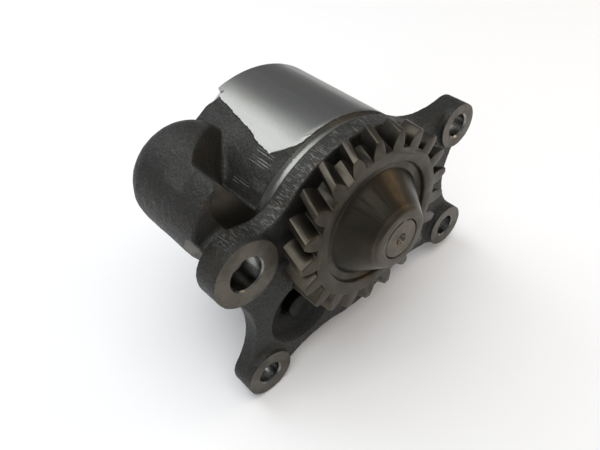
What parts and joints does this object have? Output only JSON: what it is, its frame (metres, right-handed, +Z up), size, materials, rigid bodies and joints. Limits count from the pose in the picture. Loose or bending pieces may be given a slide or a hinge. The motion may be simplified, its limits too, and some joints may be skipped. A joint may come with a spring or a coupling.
{
  "type": "engine oil pump",
  "caption": "Gear-type engine oil pump with a four-lug flange, a turned barrel with a delivery boss, a helical drive gear and a built-in relief valve.",
  "frame": {"origin": "centre of the barrel where it meets the flange's rear, mounting face", "axes": "+Y along the pump's axes towards its rear, +X to the right seen from the front, +Z up, from the pump's driven shaft to its drive shaft"},
  "size_m": [0.131, 0.0928, 0.1024],
  "materials": {
    "cast_iron_rough": "sand cast, machined faces",
    "cast_iron_turned": "fine turned",
    "gear_steel": "hardened, dark, satin",
    "ground_steel": "ground",
    "spring_steel": "oiled",
    "zinc_steel": "dull zinc",
    "bronze": "bored"
  },
  "bodies": {
    "body": {"housing": "cast_iron_rough", "rear_cover": "cast_iron_turned", "cover_screws": "zinc_steel", "cover_dowels": "ground_steel", "drive_front_bush": "bronze", "drive_rear_bush": "bronze", "driven_front_bush": "bronze", "driven_rear_bush": "bronze", "thrust_washer": "bronze", "relief_spring_seat": "zinc_steel", "relief_shim": "spring_steel", "relief_snap_ring": "spring_steel", "relief_spring": "spring_steel", "gallery_plug": "zinc_steel"},
    "drive": {"drive_shaft": "ground_steel", "drive_gear": "gear_steel", "pump_gear_key": "ground_steel", "pump_drive_gear": "gear_steel"},
    "driven": {"driven_shaft": "ground_steel", "pump_driven_gear": "gear_steel"},
    "plunger": {"relief_plunger": "ground_steel"}
  },
  "joints": [
    {"name": "drive_spin", "type": "hinge", "parent": "body", "child": "drive", "pos_m": [0, 0, 0.013], "axis": [0, 1, 0], "continuous": true},
    {"name": "driven_spin", "type": "hinge", "parent": "body", "child": "driven", "pos_m": [0, 0, -0.017], "axis": [0, 1, 0], "continuous": true},
    {"name": "relief_lift", "type": "slide", "parent": "body", "child": "plunger", "axis": [0, -1, 0], "range_m": [0, 0.006], "stiffness_N_per_m": 12000, "springref_m": -0.01, "deforming": ["relief_spring"]}
  ],
  "couplings": [
    {"joint": "driven_spin", "follows": "drive_spin", "ratio": -1}
  ]
}
